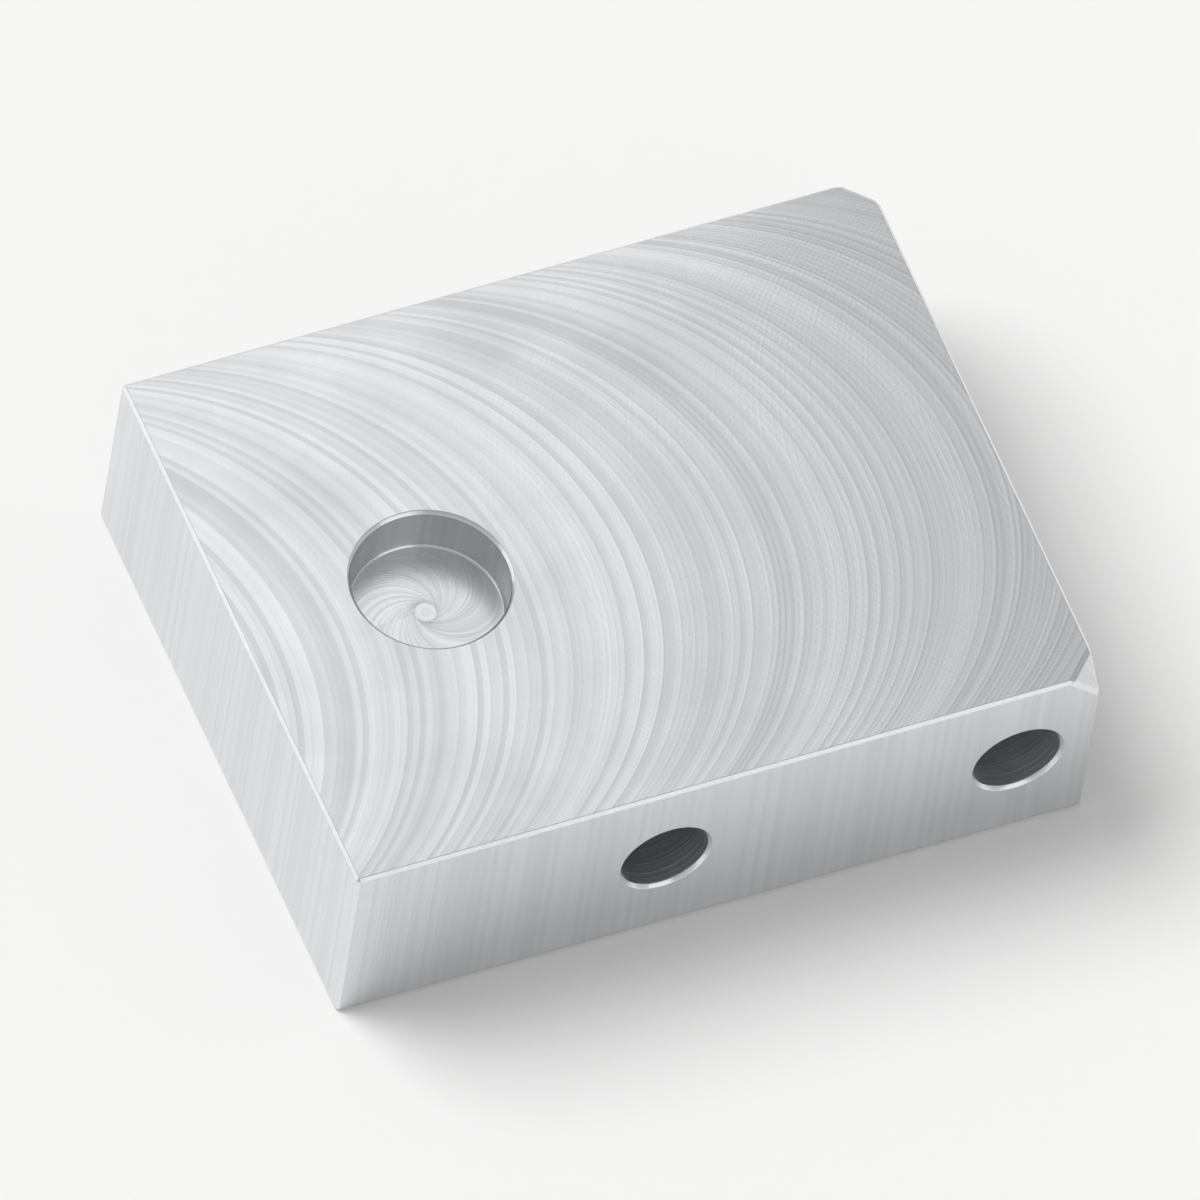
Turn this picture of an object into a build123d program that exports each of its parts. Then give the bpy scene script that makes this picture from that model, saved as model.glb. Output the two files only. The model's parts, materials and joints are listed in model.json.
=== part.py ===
"""Machined mounting block: one piece, milled from rectangular bar.

A flat block with a shallow round pocket sunk in its top face near the left end, and two
plain holes drilled straight through it from front to back at mid height. The two upper
corners of the right end are cut off obliquely, each cut taking the same length off the
three edges that meet there. Every outside edge and every hole's mouth is broken at 45
degrees, as a deburring tool leaves it.

Millimetres, +Z up. The origin is the middle of the base face, the right end faces +X and
the front face, where the holes open, faces -Y.
"""

from build123d import *
import os

# The bar, after squaring up.
LENGTH = 70.0  # left end to right end
DEPTH = 55.0  # front face to back face
THICKNESS = 20.0  # base face to top face

# Cuts on the outside.
CORNER_CUT = 3.0  # taken off each of the three edges at an upper right corner
EDGE_BREAK = 0.3  # leg of the 45 degree break on edges and mouths

# The pocket in the top face, on the block's front-to-back centreline.
POCKET_DIAMETER = 14.0
POCKET_DEPTH = 5.0
POCKET_FROM_LEFT = 18.0  # left end to the pocket's centre
POCKET_FLOOR_RADIUS = 0.2  # left by the end mill's corner, where wall meets floor

# The row of cross holes, at mid height.
HOLE_DIAMETER = 8.0
HOLE_COUNT = 2
HOLE_PITCH = 33.0  # centre to centre
HOLE_FROM_RIGHT = 7.0  # right end to the nearest hole's centre

NODE = "mounting_block"


def squared_blank():
    """The bar sawn and milled to its three sizes, standing on its base face."""
    return Box(LENGTH, DEPTH, THICKNESS, align=(Align.CENTER, Align.CENTER, Align.MIN))


def cut_corner(block, side):
    """Takes the upper right corner off; side is -1 for the front corner and 1 for the back."""
    corner = Vector(LENGTH / 2, side * DEPTH / 2, THICKNESS)
    slant = Plane(origin=corner - Vector(CORNER_CUT, 0, 0), z_dir=(1, side, 1))
    return split(block, bisect_by=slant, keep=Keep.BOTTOM)


def break_edges(block):
    """Breaks every outside edge by the same small leg."""
    return chamfer(block.edges(), EDGE_BREAK)


def turned(*outline):
    """A solid of revolution about Z, from (radius, height) points that start and end on the axis."""
    profile = Polyline(*[(radius, 0, height) for radius, height in outline], close=True)
    return revolve(make_face(profile), Axis.Z)


def pocket_cutter():
    """What the end mill and the deburring tool take out, with the pocket's mouth at z = 0."""
    radius = POCKET_DIAMETER / 2
    cutter = turned(
        (0, EDGE_BREAK),
        (radius + 2 * EDGE_BREAK, EDGE_BREAK),
        (radius, -EDGE_BREAK),
        (radius, -POCKET_DEPTH),
        (0, -POCKET_DEPTH),
    )
    floor_edge = cutter.edges().filter_by(GeomType.CIRCLE).sort_by(Axis.Z)[0]
    return fillet(floor_edge, POCKET_FLOOR_RADIUS)


def hole_cutter():
    """What the drill and the deburring tool take out of the full depth, lying along Y about the origin."""
    radius = HOLE_DIAMETER / 2
    mouth = DEPTH / 2
    cutter = turned(
        (0, mouth + EDGE_BREAK),
        (radius + 2 * EDGE_BREAK, mouth + EDGE_BREAK),
        (radius, mouth - EDGE_BREAK),
        (radius, EDGE_BREAK - mouth),
        (radius + 2 * EDGE_BREAK, -mouth - EDGE_BREAK),
        (0, -mouth - EDGE_BREAK),
    )
    return Rot(90, 0, 0) * cutter


def hole_stations():
    """The X of each cross hole's axis, from the right end inwards."""
    first = LENGTH / 2 - HOLE_FROM_RIGHT
    return [first - number * HOLE_PITCH for number in range(HOLE_COUNT)]


def mounting_block():
    """The finished block."""
    block = squared_blank()
    for side in (-1, 1):
        block = cut_corner(block, side)
    block = break_edges(block)
    block -= Pos(POCKET_FROM_LEFT - LENGTH / 2, 0, THICKNESS) * pocket_cutter()
    for station in hole_stations():
        block -= Pos(station, 0, THICKNESS / 2) * hole_cutter()
    return block


os.makedirs("parts", exist_ok=True)
export_step(mounting_block(), f"parts/{NODE}.step")
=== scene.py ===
"""A milled aluminium mounting block on a pale studio floor, laid out as an add-on and run as a script."""
import json
from collections import namedtuple
from math import cos, pi, radians, sin, sqrt

import bpy
from bpy.props import FloatProperty, FloatVectorProperty, IntProperty, PointerProperty
from mathutils import Matrix, Vector


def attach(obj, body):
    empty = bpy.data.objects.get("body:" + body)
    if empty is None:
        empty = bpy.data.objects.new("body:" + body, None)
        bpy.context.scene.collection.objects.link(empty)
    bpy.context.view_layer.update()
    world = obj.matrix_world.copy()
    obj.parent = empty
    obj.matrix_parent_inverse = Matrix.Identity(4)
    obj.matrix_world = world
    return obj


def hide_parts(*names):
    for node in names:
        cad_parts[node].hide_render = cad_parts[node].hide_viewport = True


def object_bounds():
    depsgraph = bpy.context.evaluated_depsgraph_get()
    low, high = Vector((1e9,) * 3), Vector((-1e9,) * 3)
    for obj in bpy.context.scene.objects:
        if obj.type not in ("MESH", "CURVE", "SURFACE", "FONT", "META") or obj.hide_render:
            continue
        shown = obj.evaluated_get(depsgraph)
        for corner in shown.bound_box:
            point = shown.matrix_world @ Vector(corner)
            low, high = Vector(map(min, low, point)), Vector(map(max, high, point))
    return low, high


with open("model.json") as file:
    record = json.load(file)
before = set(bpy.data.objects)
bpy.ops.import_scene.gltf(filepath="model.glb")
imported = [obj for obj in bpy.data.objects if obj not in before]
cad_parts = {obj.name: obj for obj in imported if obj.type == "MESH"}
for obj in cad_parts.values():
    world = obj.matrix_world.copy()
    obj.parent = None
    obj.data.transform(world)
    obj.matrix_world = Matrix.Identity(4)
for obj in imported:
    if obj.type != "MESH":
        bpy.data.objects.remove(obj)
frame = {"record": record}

bl_info = {
    "name": "Machined Mounting Block",
    "version": (1, 0, 0),
    "blender": (4, 5, 0),
    "location": "View3D > Sidebar > Block",
    "description": "Builds a milled aluminium mounting block and the studio it stands in",
    "category": "Object",
}

CAD_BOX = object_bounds()
NODE = "mounting_block"
BODY = "root"
MM = 0.001


def mount(name):
    """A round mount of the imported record: its place, its radius and its wall's length, in metres."""
    found = next(m for m in frame["record"]["mounts"] if m["name"] == name)
    return Vector(found["pos_m"]), found["dims"]["r_mm"] * MM, found["dims"]["length_mm"] * MM


BLOCK = CAD_BOX[1] - CAD_BOX[0]
POCKET_PLACE, POCKET_RADIUS, POCKET_WALL = mount("pocket")
LEFT_HOLE_PLACE, HOLE_RADIUS, _ = mount("cross_hole_left")
RIGHT_HOLE_PLACE, _, _ = mount("cross_hole_right")
EDGE_BREAK = 0.3 * MM
FLOOR_RADIUS = 0.2 * MM


def linear(colour):
    """An sRGB hex colour as the linear red, green and blue that the nodes work in."""
    parts = [int(colour[i : i + 2], 16) / 255 for i in (0, 2, 4)]
    return tuple(p / 12.92 if p <= 0.04045 else ((p + 0.055) / 1.055) ** 2.4 for p in parts)


def add(tree, kind, inputs=None, **settings):
    """Adds a node with its settings. An input, by name or number, gets a value, an output to link from,
    or a node, whose first output is linked."""
    node = tree.nodes.new(kind)
    for name, value in settings.items():
        setattr(node, name, value)
    for name, value in (inputs or {}).items():
        if isinstance(name, str):
            socket = next(s for s in node.inputs if s.enabled and s.name == name)
        else:
            socket = node.inputs[name]
        if isinstance(value, bpy.types.Node):
            value = next(s for s in value.outputs if s.enabled)
        if isinstance(value, bpy.types.NodeSocket):
            tree.links.new(value, socket)
        else:
            socket.default_value = value
    return node


# Sizes and colours that a user would change.


class BlockSizes(bpy.types.PropertyGroup):
    """The block's outside, and what is cut into it."""

    length: FloatProperty(
        name="Length", description="Left end to right end", default=BLOCK.x, unit="LENGTH"
    )
    depth: FloatProperty(
        name="Depth", description="Front face to back face", default=BLOCK.y, unit="LENGTH"
    )
    thickness: FloatProperty(
        name="Thickness", description="Base face to top face", default=BLOCK.z, unit="LENGTH"
    )
    corner_cut: FloatProperty(
        name="Corner Cut",
        description="Taken off each of the three edges at an upper right corner",
        default=3.0 * MM,
        unit="LENGTH",
    )
    edge_break: FloatProperty(
        name="Edge Break",
        description="Leg of the 45 degree break on edges and mouths",
        default=EDGE_BREAK,
        unit="LENGTH",
    )
    pocket_station: FloatProperty(
        name="Pocket Station",
        description="The pocket's centre along the length, from the block's middle",
        default=POCKET_PLACE.x,
        unit="LENGTH",
    )
    pocket_radius: FloatProperty(
        name="Pocket Radius",
        description="Radius of the pocket's wall",
        default=POCKET_RADIUS,
        unit="LENGTH",
    )
    pocket_depth: FloatProperty(
        name="Pocket Depth",
        description="Top face to the pocket's floor",
        default=POCKET_WALL + EDGE_BREAK + FLOOR_RADIUS,
        unit="LENGTH",
    )
    floor_radius: FloatProperty(
        name="Floor Radius",
        description="Left by the end mill's corner, where the pocket's wall meets its floor",
        default=FLOOR_RADIUS,
        unit="LENGTH",
    )
    hole_station: FloatProperty(
        name="Hole Station",
        description="The rightmost cross hole's centre along the length, from the block's middle",
        default=RIGHT_HOLE_PLACE.x,
        unit="LENGTH",
    )
    hole_pitch: FloatProperty(
        name="Hole Pitch",
        description="From one cross hole's centre to the next",
        default=RIGHT_HOLE_PLACE.x - LEFT_HOLE_PLACE.x,
        unit="LENGTH",
    )
    hole_count: IntProperty(
        name="Hole Count", description="Cross holes in the row", default=2, min=1
    )
    hole_radius: FloatProperty(
        name="Hole Radius",
        description="Radius of a cross hole",
        default=HOLE_RADIUS,
        unit="LENGTH",
    )


class BlockFinish(bpy.types.PropertyGroup):
    """The block's metal, and the tools that cut it."""

    metal: FloatVectorProperty(
        name="Metal",
        description="Colour of bare aluminium",
        default=linear("E7E8EA"),
        subtype="COLOR",
        min=0,
        max=1,
    )
    face_cutter: FloatProperty(
        name="Face Cutter",
        description="Radius of the face mill that passes over the top and the base",
        default=31.5 * MM,
        unit="LENGTH",
    )
    face_feed: FloatProperty(
        name="Face Feed",
        description="From one arc of the face mill to the next",
        default=0.6 * MM,
        unit="LENGTH",
    )
    side_feed: FloatProperty(
        name="Side Feed",
        description="From one line of the end mill to the next, round the block's sides",
        default=0.45 * MM,
        unit="LENGTH",
    )
    pocket_cutter: FloatProperty(
        name="Pocket Cutter",
        description="Radius of the end mill that opens the pocket",
        default=4.0 * MM,
        unit="LENGTH",
    )
    drill_feed: FloatProperty(
        name="Drill Feed",
        description="From one ring to the next down a cross hole's wall",
        default=0.5 * MM,
        unit="LENGTH",
    )


class StageSettings(bpy.types.PropertyGroup):
    """The studio round the block."""

    floor: FloatVectorProperty(
        name="Floor",
        description="Colour of the paper that the block stands on",
        default=linear("F6F6F5"),
        subtype="COLOR",
        min=0,
        max=1,
    )
    azimuth: FloatProperty(
        name="Azimuth",
        description="Turn of the camera round the block from straight in front",
        default=radians(-29.9),
        subtype="ANGLE",
    )
    elevation: FloatProperty(
        name="Elevation",
        description="Height of the camera above the floor, as an angle",
        default=radians(55.1),
        subtype="ANGLE",
    )
    roll: FloatProperty(
        name="Roll",
        description="Turn of the camera about the line it looks along",
        default=radians(9.66),
        subtype="ANGLE",
    )
    view_width: FloatProperty(
        name="View Width",
        description="Width of the parallel view at the block",
        default=103.9 * MM,
        unit="LENGTH",
    )


# Materials. Patterns are worked out in millimetres from Object coordinates, so that a feed or a
# cutter's radius is the number that a machinist sets. Real feeds are 0.1 to 0.3 mm, too fine to
# show from here, so the default feeds are two or three times as coarse.


ARCH_TO_TROUGH = -4.0  # the arch x(1 - x) is a quarter high, and a trough is a whole depth deep
BITE_LEAST, BITE_MOST = 0.65, 1.35  # of the depth, from one mark to another
TEARS_TO_A_MARK = 2.3  # fine tears side by side in one mark
DRIFTS_TO_A_MARK = 0.11  # the cut gets duller or cleaner over about nine marks
DRIFT_ROUGHNESS = 0.6
CHANCE_SHARE = 0.45  # how much of a mark's look is its own, the rest being the drift's


def tool_marks():
    """The row of shallow troughs that a cutter leaves as it is fed along, each a little different."""
    tree = bpy.data.node_groups.new("Tool Marks", "ShaderNodeTree")
    for name in ("Across", "Feed", "Depth"):
        tree.interface.new_socket(name, in_out="INPUT", socket_type="NodeSocketFloat")
    for name in ("Height", "Variation"):
        tree.interface.new_socket(name, in_out="OUTPUT", socket_type="NodeSocketFloat")
    given = tree.nodes.new("NodeGroupInput").outputs
    turns = add(tree, "ShaderNodeMath", {0: given["Across"], 1: given["Feed"]}, operation="DIVIDE")
    number = add(tree, "ShaderNodeMath", {0: turns}, operation="FLOOR")
    within = add(tree, "ShaderNodeMath", {0: turns}, operation="FRACT")
    left = add(tree, "ShaderNodeMath", {0: 1.0, 1: within}, operation="SUBTRACT")
    arch = add(tree, "ShaderNodeMath", {0: within, 1: left}, operation="MULTIPLY")
    chance = add(tree, "ShaderNodeTexWhiteNoise", {"W": number}, noise_dimensions="1D")
    bite = add(
        tree,
        "ShaderNodeMapRange",
        {
            "Value": chance,
            "To Min": ARCH_TO_TROUGH * BITE_LEAST,
            "To Max": ARCH_TO_TROUGH * BITE_MOST,
        },
    )
    deep = add(tree, "ShaderNodeMath", {0: bite, 1: given["Depth"]}, operation="MULTIPLY")
    height = add(tree, "ShaderNodeMath", {0: arch, 1: deep}, operation="MULTIPLY")
    tear = add(
        tree,
        "ShaderNodeTexNoise",
        {"W": turns, "Scale": TEARS_TO_A_MARK, "Detail": 0.0},
        noise_dimensions="1D",
    )
    height = add(
        tree,
        "ShaderNodeMath",
        {0: tear, 1: given["Depth"], 2: height},
        operation="MULTIPLY_ADD",
    )
    drift = add(
        tree,
        "ShaderNodeTexNoise",
        {"W": turns, "Scale": DRIFTS_TO_A_MARK, "Detail": 3.0, "Roughness": DRIFT_ROUGHNESS},
        noise_dimensions="1D",
    )
    variation = add(
        tree, "ShaderNodeMix", {"Factor": CHANCE_SHARE, "A": drift, "B": chance}, data_type="FLOAT"
    )
    add(tree, "NodeGroupOutput", {"Height": height, "Variation": variation})
    return tree


SCRATCH_RUNS = ((0.4, 30.0), (1.3, 22.0), (2.6, 26.0))  # angles, and lengths in millimetres
SCRATCH_SPREAD = 0.9  # millimetres between the places where a scratch may run
SCRATCH_STARTS, SCRATCH_FULL = 0.8, 0.86  # only noise as high as this is a scratch
FILM_SCALE = 0.07  # a patch of film is about 15 mm across
FILM_ROUGHNESS = 0.6


def handling():
    """Hairline scratches from being picked up and put down, and the faint film that fingers and
    coolant leave."""
    tree = bpy.data.node_groups.new("Handling", "ShaderNodeTree")
    tree.interface.new_socket("Place", in_out="INPUT", socket_type="NodeSocketVector")
    for name in ("Scratch", "Film"):
        tree.interface.new_socket(name, in_out="OUTPUT", socket_type="NodeSocketFloat")
    place = tree.nodes.new("NodeGroupInput").outputs["Place"]
    scratch = 0.0
    for angle, length in SCRATCH_RUNS:
        turned = add(
            tree,
            "ShaderNodeMapping",
            {
                "Vector": place,
                "Rotation": (angle, angle, angle),
                "Scale": (1 / length, 1 / SCRATCH_SPREAD, 1 / length),
            },
        )
        grain = add(tree, "ShaderNodeTexNoise", {"Vector": turned, "Scale": 1.0, "Detail": 0.0})
        line = add(
            tree,
            "ShaderNodeMapRange",
            {"Value": grain, "From Min": SCRATCH_STARTS, "From Max": SCRATCH_FULL},
        )
        scratch = add(tree, "ShaderNodeMath", {0: line, 1: scratch}, operation="MAXIMUM")
    film = add(
        tree,
        "ShaderNodeTexNoise",
        {"Vector": place, "Scale": FILM_SCALE, "Detail": 5.0, "Roughness": FILM_ROUGHNESS},
    )
    add(tree, "NodeGroupOutput", {"Scratch": scratch, "Film": film})
    return tree


FACE_PASS = -2.0 * MM  # the face mill's path, off the block's centreline
POCKET_FEED = 0.45 * MM
SCRAPE_SCALE = 1.2  # a scraper's chatter is a little under a millimetre long

# How deep each kind of mark is.
LEADING_DEPTH = 0.0035 * MM
TRAILING_DEPTH = 0.0012 * MM
SIDE_DEPTH = 0.006 * MM
POCKET_MARK_DEPTH = 0.003 * MM
DRILL_DEPTH = 0.012 * MM
SCRAPE_DEPTH = 0.02 * MM
SCRATCH_DEPTH = 0.002 * MM


def face_milled(tree, place, finish):
    """A face mill's one pass along the length. Its leading edge leaves arcs, and its trailing edge
    fainter ones that cross them."""
    x, y = (add(tree, "ShaderNodeSeparateXYZ", {0: place}).outputs[name] for name in "XY")
    aside = add(tree, "ShaderNodeMath", {0: y, 1: FACE_PASS / MM}, operation="SUBTRACT")
    squared = add(tree, "ShaderNodeMath", {0: aside, 1: aside}, operation="MULTIPLY")
    radius = finish.face_cutter / MM
    rest = add(tree, "ShaderNodeMath", {0: radius * radius, 1: squared}, operation="SUBTRACT")
    ahead = add(tree, "ShaderNodeMath", {0: rest}, operation="SQRT")
    marks = [
        add(
            tree,
            "ShaderNodeGroup",
            {
                "Across": add(tree, "ShaderNodeMath", {0: x, 1: ahead}, operation=edge),
                "Feed": finish.face_feed / MM,
                "Depth": depth,
            },
            node_tree=bpy.data.node_groups["Tool Marks"],
        ).outputs
        for edge, depth in (("SUBTRACT", LEADING_DEPTH / MM), ("ADD", TRAILING_DEPTH / MM))
    ]
    height = add(
        tree, "ShaderNodeMath", {0: marks[0]["Height"], 1: marks[1]["Height"]}, operation="ADD"
    )
    direction = add(tree, "ShaderNodeCombineXYZ", {"X": ahead, "Y": aside})
    return height, marks[0]["Variation"], direction


def side_milled(tree, place, finish):
    """The side of an end mill, fed round the block: upright lines. On every side one of X and Y stands
    still, so their sum measures the way along it."""
    along = add(tree, "ShaderNodeVectorMath", {0: place, 1: (1, 1, 0)}, operation="DOT_PRODUCT")
    marks = add(
        tree,
        "ShaderNodeGroup",
        {
            "Across": along.outputs["Value"],
            "Feed": finish.side_feed / MM,
            "Depth": SIDE_DEPTH / MM,
        },
        node_tree=bpy.data.node_groups["Tool Marks"],
    ).outputs
    facing = add(tree, "ShaderNodeNewGeometry").outputs["Normal"]
    direction = add(
        tree, "ShaderNodeVectorMath", {0: facing, 1: (0, 0, 1)}, operation="CROSS_PRODUCT"
    )
    return marks["Height"], marks["Variation"], direction


def from_pocket_centre(tree, place, sizes):
    """The way from the pocket's centre to a point, and its length and bearing, seen from above."""
    centred = add(
        tree,
        "ShaderNodeVectorMath",
        {0: place, 1: (sizes.pocket_station / MM, 0, 0)},
        operation="SUBTRACT",
    )
    flat = add(tree, "ShaderNodeVectorMath", {0: centred, 1: (1, 1, 0)}, operation="MULTIPLY")
    distance = add(tree, "ShaderNodeVectorMath", {0: flat}, operation="LENGTH").outputs["Value"]
    part = add(tree, "ShaderNodeSeparateXYZ", {0: flat}).outputs
    bearing = add(tree, "ShaderNodeMath", {0: part["Y"], 1: part["X"]}, operation="ARCTAN2")
    return flat, distance, bearing


def pocket_floor(tree, place, finish):
    """An end mill circling inside the pocket. Its rim sweeps the floor in arcs that all touch the wall,
    and the middle, which the rim never reaches, is left with rings."""
    sizes = bpy.context.scene.block_sizes
    flat, distance, bearing = from_pocket_centre(tree, place, sizes)
    cutter = finish.pocket_cutter / MM
    wall = sizes.pocket_radius / MM
    orbit = wall - cutter
    squared = add(tree, "ShaderNodeMath", {0: distance, 1: distance}, operation="MULTIPLY")
    over = add(
        tree, "ShaderNodeMath", {0: squared, 1: orbit * orbit - cutter * cutter}, operation="ADD"
    )
    under = add(tree, "ShaderNodeMath", {0: distance, 1: 2 * orbit}, operation="MULTIPLY")
    ratio = add(tree, "ShaderNodeMath", {0: over, 1: under}, operation="DIVIDE")
    held = add(tree, "ShaderNodeClamp", {"Value": ratio, "Min": -1.0, "Max": 1.0})
    swing = add(tree, "ShaderNodeMath", {0: held}, operation="ARCCOSINE")
    swept = add(tree, "ShaderNodeMath", {0: bearing, 1: swing}, operation="ADD")
    arcs = add(tree, "ShaderNodeMath", {0: swept, 1: wall}, operation="MULTIPLY")
    outside = add(
        tree, "ShaderNodeMath", {0: distance, 1: cutter - orbit}, operation="GREATER_THAN"
    )
    across = add(
        tree, "ShaderNodeMix", {"Factor": outside, "A": distance, "B": arcs}, data_type="FLOAT"
    )
    marks = add(
        tree,
        "ShaderNodeGroup",
        {"Across": across, "Feed": POCKET_FEED / MM, "Depth": POCKET_MARK_DEPTH / MM},
        node_tree=bpy.data.node_groups["Tool Marks"],
    ).outputs
    return marks["Height"], marks["Variation"], flat


def pocket_wall(tree, place, finish):
    """The same end mill's side: upright lines round the wall."""
    sizes = bpy.context.scene.block_sizes
    _, _, bearing = from_pocket_centre(tree, place, sizes)
    along = add(
        tree, "ShaderNodeMath", {0: bearing, 1: sizes.pocket_radius / MM}, operation="MULTIPLY"
    )
    marks = add(
        tree,
        "ShaderNodeGroup",
        {"Across": along, "Feed": POCKET_FEED / MM, "Depth": POCKET_MARK_DEPTH / MM},
        node_tree=bpy.data.node_groups["Tool Marks"],
    ).outputs
    facing = add(tree, "ShaderNodeNewGeometry").outputs["Normal"]
    direction = add(
        tree, "ShaderNodeVectorMath", {0: facing, 1: (0, 0, 1)}, operation="CROSS_PRODUCT"
    )
    return marks["Height"], marks["Variation"], direction


def drilled(tree, place, finish):
    """A drill fed straight through along Y: rings down the wall."""
    depth = add(tree, "ShaderNodeSeparateXYZ", {0: place}).outputs["Y"]
    marks = add(
        tree,
        "ShaderNodeGroup",
        {"Across": depth, "Feed": finish.drill_feed / MM, "Depth": DRILL_DEPTH / MM},
        node_tree=bpy.data.node_groups["Tool Marks"],
    ).outputs
    direction = add(tree, "ShaderNodeCombineXYZ", {"Y": 1.0})
    return marks["Height"], marks["Variation"], direction


def deburred(tree, place, finish):
    """A hand scraper run once along the edge: almost smooth, with a slight chatter."""
    chatter = add(
        tree, "ShaderNodeTexNoise", {"Vector": place, "Scale": SCRAPE_SCALE, "Detail": 2.0}
    ).outputs["Fac"]
    height = add(tree, "ShaderNodeMath", {0: chatter, 1: SCRAPE_DEPTH / MM}, operation="MULTIPLY")
    return height, chatter, None


# cut draws the marks, spread is how far they smear a highlight across themselves, and shade is how
# much darker the dullest mark is than the cleanest.
Finish = namedtuple("Finish", "cut roughness spread shade")
FINISHES = {
    "Face-Milled Aluminium": Finish(face_milled, roughness=0.28, spread=0.7, shade=0.16),
    "Side-Milled Aluminium": Finish(side_milled, roughness=0.33, spread=0.6, shade=0.08),
    "End-Milled Pocket Floor": Finish(pocket_floor, roughness=0.27, spread=0.4, shade=0.14),
    "End-Milled Pocket Wall": Finish(pocket_wall, roughness=0.3, spread=0.5, shade=0.08),
    "Drilled Aluminium": Finish(drilled, roughness=0.4, spread=0.3, shade=0.16),
    "Deburred Aluminium Edge": Finish(deburred, roughness=0.2, spread=0.0, shade=0.04),
}


CLEANEST, DULLEST = 0.25, 0.8  # a mark's variation where its shade is lightest and darkest
ROUGHNESS_SWING = 0.05  # either way, from one mark to another
FILM_STARTS, FILM_FULL = 0.35, 0.7
WIPED, FILMED = -0.02, 0.07  # what a wiped and a filmed patch add to the roughness


def aluminium(name, finish):
    """Bare wrought aluminium: a clean light metal whose look is all in how it was cut. The marks bend and
    spread its highlights, and each mark is a shade lighter or darker than the next."""
    cut, roughness, spread, shade = FINISHES[name]
    material = bpy.data.materials.new(name)
    material.use_nodes = True
    tree = material.node_tree
    tree.nodes.clear()
    where = add(tree, "ShaderNodeTexCoord").outputs["Object"]
    place = add(tree, "ShaderNodeMapping", {"Vector": where, "Scale": (1 / MM,) * 3}).outputs[0]
    height, variation, direction = cut(tree, place, finish)
    touched = add(
        tree,
        "ShaderNodeGroup",
        {"Place": place},
        node_tree=bpy.data.node_groups["Handling"],
    ).outputs
    metal = tuple(finish.metal)
    duller = tuple(part * (1 - shade) for part in metal)
    dulled = add(
        tree,
        "ShaderNodeMapRange",
        {"Value": variation, "From Min": CLEANEST, "From Max": DULLEST},
    )
    colour = add(
        tree,
        "ShaderNodeMix",
        {"Factor": dulled, "A": (*metal, 1), "B": (*duller, 1)},
        data_type="RGBA",
    )
    worked = add(
        tree,
        "ShaderNodeMapRange",
        {
            "Value": variation,
            "To Min": roughness - ROUGHNESS_SWING,
            "To Max": roughness + ROUGHNESS_SWING,
        },
    )
    filmed = add(
        tree,
        "ShaderNodeMapRange",
        {
            "Value": touched["Film"],
            "From Min": FILM_STARTS,
            "From Max": FILM_FULL,
            "To Min": WIPED,
            "To Max": FILMED,
        },
    )
    rough = add(tree, "ShaderNodeMath", {0: worked, 1: filmed}, operation="ADD")
    groove = add(
        tree,
        "ShaderNodeMath",
        {0: touched["Scratch"], 1: -SCRATCH_DEPTH / MM, 2: height},
        operation="MULTIPLY_ADD",
    )
    bump = add(tree, "ShaderNodeBump", {"Height": groove, "Distance": MM, "Strength": 1.0})
    shader = add(
        tree,
        "ShaderNodeBsdfPrincipled",
        {
            "Base Color": colour,
            "Metallic": 1.0,
            "Roughness": rough,
            "Anisotropic": spread,
            "Normal": bump,
        },
    )
    if direction is not None:
        across = add(tree, "ShaderNodeVectorMath", {0: direction}, operation="NORMALIZE")
        tree.links.new(across.outputs[0], shader.inputs["Tangent"])
    add(tree, "ShaderNodeOutputMaterial", {"Surface": shader})
    return material


# The block.

ROUND_SEGMENTS = 128
SHARP = radians(20)  # an edge that turns by more than this is broken
BURNISH = 0.05 * MM  # how far a broken edge's own corners are rounded over by handling
HAIR = 0.01 * MM  # heights that differ by less are the same
CUTTER_SIDE = 4.0  # in corner cuts: wide enough to clear the corner all round
DRILL_REACH = 1.2  # in depths of the block: out past both faces
FACE_WEIGHT = 100  # the large faces alone set how light falls on the edges round them
LENGTHS = (
    "Length",
    "Depth",
    "Thickness",
    "Corner Cut",
    "Edge Break",
    "Pocket Station",
    "Pocket Radius",
    "Pocket Depth",
    "Floor Radius",
    "Hole Station",
    "Hole Pitch",
    "Hole Radius",
)
# What each surface of the block is finished with.
SURFACES = {
    "Faces": "Face-Milled Aluminium",
    "Sides": "Side-Milled Aluminium",
    "Pocket Floor": "End-Milled Pocket Floor",
    "Pocket Wall": "End-Milled Pocket Wall",
    "Hole Wall": "Drilled Aluminium",
}


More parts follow.
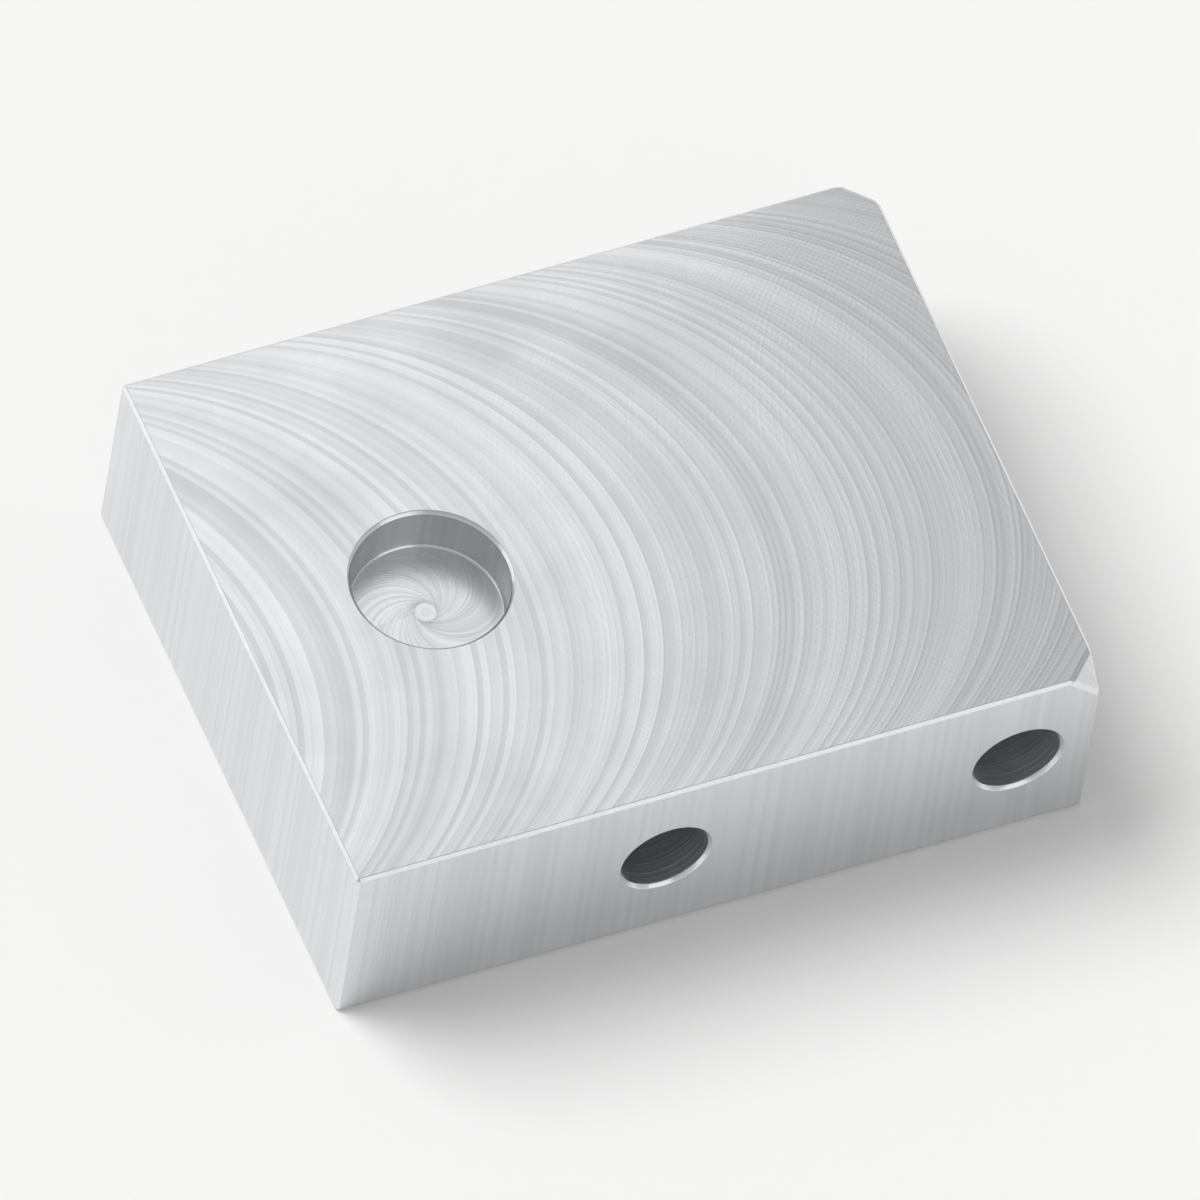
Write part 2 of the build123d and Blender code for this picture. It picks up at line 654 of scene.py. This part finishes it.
def block_tree():
    """The block as a machinist makes it: a squared blank, less two oblique corner cuts, a pocket and a
    row of cross holes. Edges to be broken get a bevel weight."""
    tree = bpy.data.node_groups.new("Mounting Block", "GeometryNodeTree")
    for name in LENGTHS:
        tree.interface.new_socket(name, in_out="INPUT", socket_type="NodeSocketFloat")
    tree.interface.new_socket("Hole Count", in_out="INPUT", socket_type="NodeSocketInt")
    for name in SURFACES:
        tree.interface.new_socket(name, in_out="INPUT", socket_type="NodeSocketMaterial")
    tree.interface.new_socket("Block", in_out="OUTPUT", socket_type="NodeSocketGeometry")
    given = tree.nodes.new("NodeGroupInput").outputs
    # The blank, standing on its base.
    half_length = add(tree, "ShaderNodeMath", {0: given["Length"], 1: 0.5}, operation="MULTIPLY")
    half_depth = add(tree, "ShaderNodeMath", {0: given["Depth"], 1: 0.5}, operation="MULTIPLY")
    middle = add(tree, "ShaderNodeMath", {0: given["Thickness"], 1: 0.5}, operation="MULTIPLY")
    size = add(
        tree,
        "ShaderNodeCombineXYZ",
        {"X": given["Length"], "Y": given["Depth"], "Z": given["Thickness"]},
    )
    raised = add(tree, "ShaderNodeCombineXYZ", {"Z": middle})
    bar = add(tree, "GeometryNodeMeshCube", {"Size": size})
    blank = add(tree, "GeometryNodeTransform", {"Geometry": bar, "Translation": raised})
    blank = add(tree, "GeometryNodeSetMaterial", {"Geometry": blank, "Material": given["Sides"]})
    # A square cutter at each upper right corner, tipped so that its flat takes the corner off. The
    # flat lies inside the corner by the cut's length over root three.
    front = add(tree, "ShaderNodeMath", {0: half_depth, 1: -1.0}, operation="MULTIPLY")
    corner = add(
        tree, "ShaderNodeCombineXYZ", {"X": half_length, "Y": front, "Z": given["Thickness"]}
    )
    to_back = add(tree, "ShaderNodeCombineXYZ", {"Y": given["Depth"]})
    corners = add(
        tree, "GeometryNodeMeshLine", {"Count": 2, "Start Location": corner, "Offset": to_back}
    )
    outward = add(
        tree,
        "ShaderNodeVectorMath",
        {0: add(tree, "GeometryNodeInputPosition")},
        operation="SIGN",
    )
    tipped = add(tree, "FunctionNodeAlignRotationToVector", {"Vector": outward})
    side = add(
        tree, "ShaderNodeMath", {0: given["Corner Cut"], 1: CUTTER_SIDE}, operation="MULTIPLY"
    )
    square = add(tree, "ShaderNodeCombineXYZ", {"X": side, "Y": side, "Z": side})
    sunk = add(
        tree,
        "ShaderNodeMath",
        {0: given["Corner Cut"], 1: CUTTER_SIDE / 2 - 1 / sqrt(3)},
        operation="MULTIPLY",
    )
    lifted = add(tree, "ShaderNodeCombineXYZ", {"Z": sunk})
    cutter = add(tree, "GeometryNodeMeshCube", {"Size": square})
    cutter = add(tree, "GeometryNodeTransform", {"Geometry": cutter, "Translation": lifted})
    cutter = add(tree, "GeometryNodeSetMaterial", {"Geometry": cutter, "Material": given["Sides"]})
    corner_cuts = add(
        tree,
        "GeometryNodeInstanceOnPoints",
        {"Points": corners, "Instance": cutter, "Rotation": tipped},
    )
    # The drill, laid along the depth and repeated down the row.
    reach = add(tree, "ShaderNodeMath", {0: given["Depth"], 1: DRILL_REACH}, operation="MULTIPLY")
    drill = add(
        tree,
        "GeometryNodeMeshCylinder",
        {"Vertices": ROUND_SEGMENTS, "Radius": given["Hole Radius"], "Depth": reach},
    )
    drill = add(
        tree, "GeometryNodeTransform", {"Geometry": drill, "Rotation": (pi / 2, 0, 0)}
    )
    drill = add(tree, "GeometryNodeSetMaterial", {"Geometry": drill, "Material": given["Hole Wall"]})
    first = add(tree, "ShaderNodeCombineXYZ", {"X": given["Hole Station"], "Z": middle})
    back_up = add(tree, "ShaderNodeMath", {0: given["Hole Pitch"], 1: -1.0}, operation="MULTIPLY")
    step = add(tree, "ShaderNodeCombineXYZ", {"X": back_up})
    row = add(
        tree,
        "GeometryNodeMeshLine",
        {"Count": given["Hole Count"], "Start Location": first, "Offset": step},
    )
    holes = add(tree, "GeometryNodeInstanceOnPoints", {"Points": row, "Instance": drill})
    # The end mill, reaching as far above the top as it sinks into it.
    stroke = add(tree, "ShaderNodeMath", {0: given["Pocket Depth"], 1: 2.0}, operation="MULTIPLY")
    mill = add(
        tree,
        "GeometryNodeMeshCylinder",
        {"Vertices": ROUND_SEGMENTS, "Radius": given["Pocket Radius"], "Depth": stroke},
    )
    walled = add(
        tree,
        "GeometryNodeSetMaterial",
        {"Geometry": mill.outputs["Mesh"], "Material": given["Pocket Wall"]},
    )
    floored = add(
        tree,
        "GeometryNodeSetMaterial",
        {
            "Geometry": walled,
            "Selection": mill.outputs["Bottom"],
            "Material": given["Pocket Floor"],
        },
    )
    mouth = add(
        tree, "ShaderNodeCombineXYZ", {"X": given["Pocket Station"], "Z": given["Thickness"]}
    )
    pocket = add(tree, "GeometryNodeTransform", {"Geometry": floored, "Translation": mouth})
    cut = add(
        tree,
        "GeometryNodeMeshBoolean",
        {"Mesh 1": blank},
        operation="DIFFERENCE",
        solver="EXACT",
    )
    for tool in (pocket, holes, corner_cuts):
        tree.links.new(tool.outputs[0], cut.inputs["Mesh 2"])
    # Every sharp edge is broken fully, but the pocket's floor only gets the end mill's own small radius.
    angle = add(tree, "GeometryNodeInputMeshEdgeAngle").outputs["Unsigned Angle"]
    sharp = add(tree, "ShaderNodeMath", {0: angle, 1: SHARP}, operation="GREATER_THAN")
    height = add(
        tree, "ShaderNodeSeparateXYZ", {0: add(tree, "GeometryNodeInputPosition")}
    ).outputs["Z"]
    sole = add(
        tree, "ShaderNodeMath", {0: given["Thickness"], 1: given["Pocket Depth"]}, operation="SUBTRACT"
    )
    at_floor = add(tree, "ShaderNodeMath", {0: height, 1: sole, 2: HAIR}, operation="COMPARE")
    share = add(
        tree,
        "ShaderNodeMath",
        {0: given["Floor Radius"], 1: given["Edge Break"]},
        operation="DIVIDE",
    )
    amount = add(
        tree, "ShaderNodeMix", {"Factor": at_floor, "A": 1.0, "B": share}, data_type="FLOAT"
    )
    weight = add(tree, "ShaderNodeMath", {0: amount, 1: sharp}, operation="MULTIPLY")
    weighted = add(
        tree,
        "GeometryNodeStoreNamedAttribute",
        {"Geometry": cut.outputs["Mesh"], "Name": "bevel_weight_edge", "Value": weight},
        data_type="FLOAT",
        domain="EDGE",
    )
    # The face mill's finish goes on what lies at the height of the base or of the top.
    at_base = add(tree, "ShaderNodeMath", {0: height, 1: 0.0, 2: HAIR}, operation="COMPARE")
    at_top = add(
        tree, "ShaderNodeMath", {0: height, 1: given["Thickness"], 2: HAIR}, operation="COMPARE"
    )
    faced = add(tree, "ShaderNodeMath", {0: at_base, 1: at_top}, operation="ADD")
    real = add(tree, "GeometryNodeRealizeInstances", {"Geometry": weighted})
    done = add(
        tree,
        "GeometryNodeSetMaterial",
        {"Geometry": real, "Selection": faced, "Material": given["Faces"]},
    )
    add(tree, "NodeGroupOutput", {"Block": done})
    return tree


def plain_mesh(piece, name):
    """The piece's mesh with its modifiers applied, and with no empty material slot."""
    now = bpy.context.evaluated_depsgraph_get()
    mesh = bpy.data.meshes.new_from_object(piece.evaluated_get(now), depsgraph=now)
    mesh.name = name
    for slot in reversed(range(len(mesh.materials))):
        if mesh.materials[slot] is None:
            mesh.materials.pop(index=slot)
    return mesh


class BLOCK_OT_mounting_block(bpy.types.Operator):
    """Builds the mounting block in place of the plain model"""

    bl_idname = "block.mounting_block"
    bl_label = "Build Mounting Block"
    bl_options = {"REGISTER", "UNDO"}

    def execute(self, context):
        sizes, finish = context.scene.block_sizes, context.scene.block_finish
        tool_marks()
        handling()
        metals = {name: aluminium(name, finish) for name in FINISHES}
        piece = bpy.data.objects.new("milled_block", bpy.data.meshes.new("milled_block"))
        context.scene.collection.objects.link(piece)
        tree = block_tree()
        nodes = piece.modifiers.new("Mounting Block", "NODES")
        nodes.node_group = tree
        values = {name: getattr(sizes, name.lower().replace(" ", "_")) for name in LENGTHS}
        values["Hole Count"] = sizes.hole_count
        values.update({surface: metals[name] for surface, name in SURFACES.items()})
        for socket in tree.interface.items_tree:
            if socket.in_out == "INPUT":
                nodes[socket.identifier] = values[socket.name]
        piece.data = plain_mesh(piece, "milled_block")
        piece.modifiers.clear()
        piece.data.materials.append(metals["Deburred Aluminium Edge"])
        piece.data.shade_smooth()
        edges = piece.modifiers.new("Edge Break", "BEVEL")
        edges.limit_method = "WEIGHT"
        edges.width = sizes.edge_break
        edges.segments = 1
        edges.material = len(piece.data.materials) - 1
        edges.loop_slide = False
        edges.use_clamp_overlap = False
        corners = piece.modifiers.new("Burnished Corners", "BEVEL")
        corners.limit_method = "ANGLE"
        corners.angle_limit = SHARP
        corners.width = BURNISH
        corners.segments = 2
        corners.loop_slide = False
        corners.use_clamp_overlap = False
        flats = piece.modifiers.new("Flat Faces", "WEIGHTED_NORMAL")
        flats.weight = FACE_WEIGHT
        piece.data = plain_mesh(piece, "milled_block")
        piece.modifiers.clear()
        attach(piece, BODY)
        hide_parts(NODE)
        return {"FINISHED"}


# The studio.


FLOOR_REACH = 3.0  # from the block to each edge of the paper, out of every view
PAPER_ROUGHNESS, PAPER_SHEEN = 0.9, 0.2  # matt paper scatters light and hardly shines
KEY_DIRECTION = (-0.55, 0.5, 1.0)  # from behind the block's left end
KEY_STRENGTH = 2.0
KEY_ANGLE = radians(40)  # wide, for a soft shadow
EVEN_TONE = 0.5
WALL_TONES = ((0.0, 0.56), (0.3, 0.6), (0.75, 0.4), (1.0, 0.42))  # height, and the tone there
VIEW_RIGHT, VIEW_UP = 0.83 * MM, 5.13 * MM  # the middle of the view, from the origin
CAMERA_DISTANCE = 0.4
CAMERA_NEAR, CAMERA_FAR = 0.01, 10.0

# White cards, hung close by for the metal to mirror: name, place, side and brightness.
CARDS = (
    ("Top Card", (0.01, 0.14, 0.2), 0.16, 0.74),
    ("Left Card", (-0.22, 0.16, 0.11), 0.18, 0.55),
    ("Front Card", (0.08, -0.24, 0.15), 0.2, 0.5),
)


def grey(tone):
    """A tone between black and white, as a colour."""
    return (tone, tone, tone, 1)


class BLOCK_OT_stage(bpy.types.Operator):
    """Lays the floor, sets the lights and places the camera"""

    bl_idname = "block.stage"
    bl_label = "Set Up Stage"
    bl_options = {"REGISTER", "UNDO"}

    def execute(self, context):
        settings = context.scene.block_stage
        self.lay_floor(context, settings)
        self.light(context, settings)
        self.place_camera(context, settings)
        return {"FINISHED"}

    def lay_floor(self, context, settings):
        mesh = bpy.data.meshes.new("floor")
        corners = [
            (x * FLOOR_REACH, y * FLOOR_REACH, 0) for x, y in ((-1, -1), (1, -1), (1, 1), (-1, 1))
        ]
        mesh.from_pydata(corners, [], [(0, 1, 2, 3)])
        floor = bpy.data.objects.new("floor", mesh)
        context.scene.collection.objects.link(floor)
        paper = bpy.data.materials.new("Matt White Paper")
        paper.use_nodes = True
        tree = paper.node_tree
        tree.nodes.clear()
        shader = add(
            tree,
            "ShaderNodeBsdfPrincipled",
            {
                "Base Color": (*settings.floor, 1),
                "Roughness": PAPER_ROUGHNESS,
                "Specular IOR Level": PAPER_SHEEN,
            },
        )
        add(tree, "ShaderNodeOutputMaterial", {"Surface": shader})
        mesh.materials.append(paper)

    def light(self, context, settings):
        """A soft overhead light for the floor and the shadow, and the white cards that metal mirrors."""
        self.surround(context, settings)
        key = bpy.data.lights.new("Key", "SUN")
        key.energy = KEY_STRENGTH
        key.angle = KEY_ANGLE
        self.hang(context, key, KEY_DIRECTION)
        context.scene.objects["Key"].visible_glossy = False
        for name, place, side, brightness in CARDS:
            card = bpy.data.lights.new(name, "AREA")
            card.size = side
            card.energy = brightness * side * side * pi
            self.hang(context, card, place)
            context.scene.objects[name].visible_diffuse = False

    def hang(self, context, light, place):
        """Hangs a light at a place, out of the camera's sight and turned to the block."""
        lamp = bpy.data.objects.new(light.name, light)
        lamp.matrix_world = Matrix.LocRotScale(
            Vector(place), (-Vector(place)).to_track_quat("-Z", "Y"), None
        )
        lamp.visible_camera = False
        context.scene.collection.objects.link(lamp)

    def surround(self, context, settings):
        """The room. A camera sees the floor's own tone, metal sees walls that darken towards the ceiling,
        and everything else is lit evenly."""
        world = bpy.data.worlds.new("Studio")
        context.scene.world = world
        world.use_nodes = True
        tree = world.node_tree
        tree.nodes.clear()
        where = add(tree, "ShaderNodeTexCoord").outputs["Generated"]
        up = add(tree, "ShaderNodeSeparateXYZ", {0: where}).outputs["Z"]
        walls = add(tree, "ShaderNodeValToRGB", {"Fac": up})
        stops = walls.color_ramp.elements
        stops.remove(stops[1])
        stops[0].color = grey(WALL_TONES[0][1])
        for height, tone in WALL_TONES[1:]:
            stops.new(height).color = grey(tone)
        rays = add(tree, "ShaderNodeLightPath").outputs
        mirrored = add(
            tree,
            "ShaderNodeMix",
            {"Factor": rays["Is Glossy Ray"], "A": grey(EVEN_TONE), "B": walls.outputs["Color"]},
            data_type="RGBA",
        )
        seen = add(
            tree,
            "ShaderNodeMix",
            {"Factor": rays["Is Camera Ray"], "A": mirrored, "B": (*settings.floor, 1)},
            data_type="RGBA",
        )
        background = add(tree, "ShaderNodeBackground", {"Color": seen, "Strength": 1.0})
        add(tree, "ShaderNodeOutputWorld", {"Surface": background})

    def place_camera(self, context, settings):
        azimuth, elevation, roll = settings.azimuth, settings.elevation, settings.roll
        right = Vector((cos(azimuth), sin(azimuth), 0))
        back = Vector(
            (sin(azimuth) * cos(elevation), -cos(azimuth) * cos(elevation), sin(elevation))
        )
        up = back.cross(right)
        turned_right = cos(roll) * right + sin(roll) * up
        turned_up = cos(roll) * up - sin(roll) * right
        data = bpy.data.cameras.new("Camera")
        data.type = "ORTHO"
        data.ortho_scale = settings.view_width
        data.clip_start, data.clip_end = CAMERA_NEAR, CAMERA_FAR
        camera = bpy.data.objects.new("Camera", data)
        middle = turned_right * VIEW_RIGHT + turned_up * VIEW_UP
        place = Matrix((turned_right, turned_up, back)).transposed().to_4x4()
        place.translation = middle + back * CAMERA_DISTANCE
        camera.matrix_world = place
        context.scene.collection.objects.link(camera)
        context.scene.camera = camera
        context.scene.view_settings.view_transform = "Standard"


class BLOCK_PT_panel(bpy.types.Panel):
    """The block's sizes and finish, and the stage, in the sidebar"""

    bl_idname = "BLOCK_PT_panel"
    bl_label = "Mounting Block"
    bl_space_type = "VIEW_3D"
    bl_region_type = "UI"
    bl_category = "Block"

    def draw(self, context):
        scene = context.scene
        for title, group, operator in (
            ("Sizes", scene.block_sizes, BLOCK_OT_mounting_block),
            ("Finish", scene.block_finish, BLOCK_OT_mounting_block),
            ("Stage", scene.block_stage, BLOCK_OT_stage),
        ):
            box = self.layout.box()
            box.label(text=title)
            for name in group.__annotations__:
                box.prop(group, name)
            box.operator(operator.bl_idname)


CLASSES = (
    BlockSizes,
    BlockFinish,
    StageSettings,
    BLOCK_OT_mounting_block,
    BLOCK_OT_stage,
    BLOCK_PT_panel,
)


def register():
    for kind in CLASSES:
        bpy.utils.register_class(kind)
    bpy.types.Scene.block_sizes = PointerProperty(type=BlockSizes)
    bpy.types.Scene.block_finish = PointerProperty(type=BlockFinish)
    bpy.types.Scene.block_stage = PointerProperty(type=StageSettings)


def unregister():
    del bpy.types.Scene.block_stage
    del bpy.types.Scene.block_finish
    del bpy.types.Scene.block_sizes
    for kind in reversed(CLASSES):
        bpy.utils.unregister_class(kind)


def main():
    register()
    bpy.ops.block.mounting_block()
    bpy.ops.block.stage()


if __name__ == "__main__":
    main()
